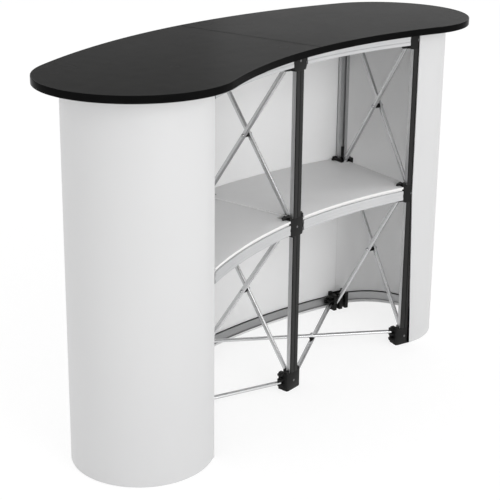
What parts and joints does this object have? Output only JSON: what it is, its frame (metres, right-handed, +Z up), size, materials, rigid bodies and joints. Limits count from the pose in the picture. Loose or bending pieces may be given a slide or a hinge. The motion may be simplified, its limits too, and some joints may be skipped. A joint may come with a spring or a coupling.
{
  "type": "exhibition counter",
  "caption": "Curved pop-up exhibition counter: folding bar lattice, magnetic posts, wrap panels pulled off outwards, a split lift-off worktop and an inner shelf.",
  "frame": {"origin": "on the floor, under the middle of the counter's overall length and depth", "axes": "+X along the counter's length to the right as the staff see it, +Y from the staff's hollow side to the customers, +Z up"},
  "size_m": [1.5148, 0.5616, 0.95],
  "materials": {
    "hub_plastic": "moulded black plastic, fine satin grain",
    "post_metal": "extruded channel faced with black magnet strip",
    "bar_metal": "satin anodised flat oval bar",
    "rail_metal": "pale anodised lipped extrusion",
    "shelf_laminate": "pale grey laminate on board with a white edge",
    "worktop_laminate": "dark grey satin laminate on board with a black edge",
    "panel_plastic": "plain white bendy wrap panel"
  },
  "bodies": {
    "frame": {"hub_back_left_bottom": "hub_plastic", "hub_back_left_middle": "hub_plastic", "hub_back_left_top": "hub_plastic", "hub_back_centre_bottom": "hub_plastic", "hub_back_centre_middle": "hub_plastic", "hub_back_centre_top": "hub_plastic", "hub_back_right_bottom": "hub_plastic", "hub_back_right_middle": "hub_plastic", "hub_back_right_top": "hub_plastic", "hub_front_left_bottom": "hub_plastic", "hub_front_left_middle": "hub_plastic", "hub_front_left_top": "hub_plastic", "hub_front_centre_bottom": "hub_plastic", "hub_front_centre_middle": "hub_plastic", "hub_front_centre_top": "hub_plastic", "hub_front_right_bottom": "hub_plastic", "hub_front_right_middle": "hub_plastic", "hub_front_right_top": "hub_plastic", "post_back_left": "post_metal", "post_back_centre": "post_metal", "post_back_right": "post_metal", "post_front_left": "post_metal", "post_front_centre": "post_metal", "post_front_right": "post_metal", "upright_bar_left_lower_a": "bar_metal", "upright_bar_left_lower_b": "bar_metal", "upright_bar_left_upper_a": "bar_metal", "upright_bar_left_upper_b": "bar_metal", "upright_bar_centre_lower_a": "bar_metal", "upright_bar_centre_lower_b": "bar_metal", "upright_bar_centre_upper_a": "bar_metal", "upright_bar_centre_upper_b": "bar_metal", "upright_bar_right_lower_a": "bar_metal", "upright_bar_right_lower_b": "bar_metal", "upright_bar_right_upper_a": "bar_metal", "upright_bar_right_upper_b": "bar_metal", "level_bar_left_bottom_a": "bar_metal", "level_bar_left_bottom_b": "bar_metal", "level_bar_left_top_a": "bar_metal", "level_bar_left_top_b": "bar_metal", "level_bar_right_bottom_a": "bar_metal", "level_bar_right_bottom_b": "bar_metal", "level_bar_right_top_a": "bar_metal", "level_bar_right_top_b": "bar_metal", "rail_back_left_top": "rail_metal", "rail_back_right_top": "rail_metal", "rail_back_left_middle": "rail_metal", "rail_back_right_middle": "rail_metal", "rail_front_left_bottom": "rail_metal", "rail_front_right_bottom": "rail_metal", "rail_end_left_bottom": "rail_metal", "rail_end_right_bottom": "rail_metal", "shelf_left": "shelf_laminate", "shelf_right": "shelf_laminate"},
    "worktop_left": {"worktop_left": "worktop_laminate"},
    "worktop_right": {"worktop_right": "worktop_laminate"},
    "panel_front_left": {"panel_front_left": "panel_plastic"},
    "panel_front_right": {"panel_front_right": "panel_plastic"},
    "panel_end_left": {"panel_end_left": "panel_plastic"},
    "panel_end_right": {"panel_end_right": "panel_plastic"}
  },
  "joints": [
    {"name": "worktop_left_lift", "type": "slide", "parent": "frame", "child": "worktop_left", "axis": [0, 0, 1], "range_m": [0, 0.3]},
    {"name": "worktop_right_lift", "type": "slide", "parent": "frame", "child": "worktop_right", "axis": [0, 0, 1], "range_m": [0, 0.3]},
    {"name": "panel_front_left_pull", "type": "slide", "parent": "frame", "child": "panel_front_left", "axis": [-0.1685, 0.9857, 0], "range_m": [0, 0.2]},
    {"name": "panel_front_right_pull", "type": "slide", "parent": "frame", "child": "panel_front_right", "axis": [0.1685, 0.9857, 0], "range_m": [0, 0.2]},
    {"name": "panel_end_left_pull", "type": "slide", "parent": "frame", "child": "panel_end_left", "axis": [-0.9432, -0.3322, 0], "range_m": [0, 0.2]},
    {"name": "panel_end_right_pull", "type": "slide", "parent": "frame", "child": "panel_end_right", "axis": [0.9432, -0.3322, 0], "range_m": [0, 0.2]}
  ]
}
